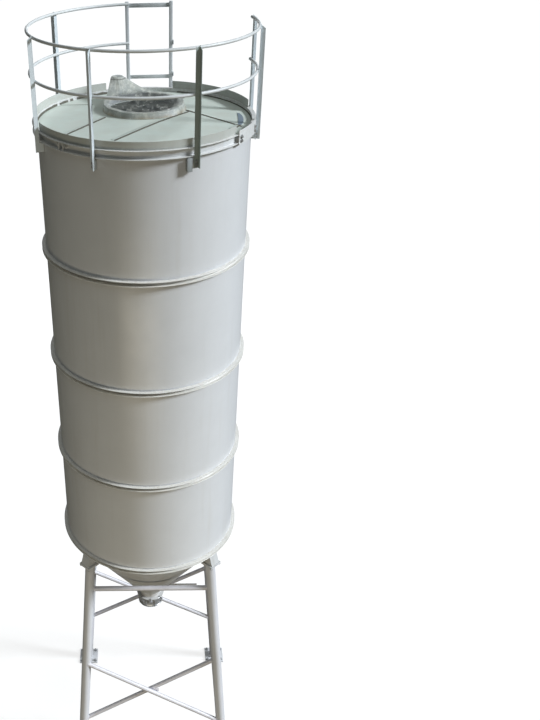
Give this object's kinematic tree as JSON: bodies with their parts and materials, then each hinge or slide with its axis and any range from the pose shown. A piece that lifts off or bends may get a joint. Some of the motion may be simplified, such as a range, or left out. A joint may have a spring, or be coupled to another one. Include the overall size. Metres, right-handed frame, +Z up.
{
  "type": "cement silo",
  "caption": "Upright welded steel cement silo on battered tube legs, with a hopper cone, a lever butterfly valve, a rear ladder and a railed flat roof.",
  "frame": {"origin": "on the ground, on the bin's upright axis", "axes": "+Z up, the front looks along -Y, +X to the right of the front"},
  "size_m": [2.7482, 2.7482, 11.712],
  "materials": {
    "shell_paint": "satin",
    "roof_paint": "satin",
    "frame_paint": "satin",
    "plastic_film": "crumpled film",
    "valve_metal": "cast",
    "lever_iron": "painted dark"
  },
  "bodies": {
    "silo": {"shell_course_1": "shell_paint", "shell_course_2": "shell_paint", "shell_course_3": "shell_paint", "shell_course_4": "shell_paint", "base_hoop": "shell_paint", "seam_hoop_1": "shell_paint", "seam_hoop_2": "shell_paint", "seam_hoop_3": "shell_paint", "curb_front": "shell_paint", "curb_rear_right": "shell_paint", "curb_rear_left": "shell_paint", "curb_cover_plate": "shell_paint", "toe_board_front": "shell_paint", "toe_board_rear_left": "shell_paint", "toe_board_rear_right": "shell_paint", "roof_plate": "roof_paint", "filter_collar": "roof_paint", "relief_stub": "roof_paint", "film_cover": "plastic_film", "top_rail": "frame_paint", "mid_rail": "frame_paint", "rail_post_1": "frame_paint", "rail_post_2": "frame_paint", "rail_post_3": "frame_paint", "rail_post_4": "frame_paint", "rail_post_5": "frame_paint", "rail_post_6": "frame_paint", "ladder": "frame_paint", "ladder_bracket_1": "frame_paint", "ladder_bracket_2": "frame_paint", "ladder_bracket_3": "frame_paint", "ladder_bracket_4": "frame_paint", "hopper_cone": "shell_paint", "valve_body": "valve_metal", "leg_front_right": "frame_paint", "leg_rear_right": "frame_paint", "leg_rear_left": "frame_paint", "leg_front_left": "frame_paint", "leg_bracket_front_right": "frame_paint", "leg_bracket_rear_right": "frame_paint", "leg_bracket_rear_left": "frame_paint", "leg_bracket_front_left": "frame_paint", "tie_bar_front": "frame_paint", "tie_bar_right": "frame_paint", "tie_bar_rear": "frame_paint", "tie_bar_left": "frame_paint", "brace_front_outer": "frame_paint", "brace_front_inner": "frame_paint", "brace_right_outer": "frame_paint", "brace_right_inner": "frame_paint", "brace_rear_outer": "frame_paint", "brace_rear_inner": "frame_paint", "brace_left_outer": "frame_paint", "brace_left_inner": "frame_paint"},
    "valve_flap": {"valve_disc": "valve_metal", "valve_lever": "lever_iron"}
  },
  "joints": [
    {"name": "valve_turn", "type": "hinge", "parent": "silo", "child": "valve_flap", "pos_m": [0, 0, 2.8944], "axis": [0, 1, 0], "range_deg": [0, 90]}
  ]
}
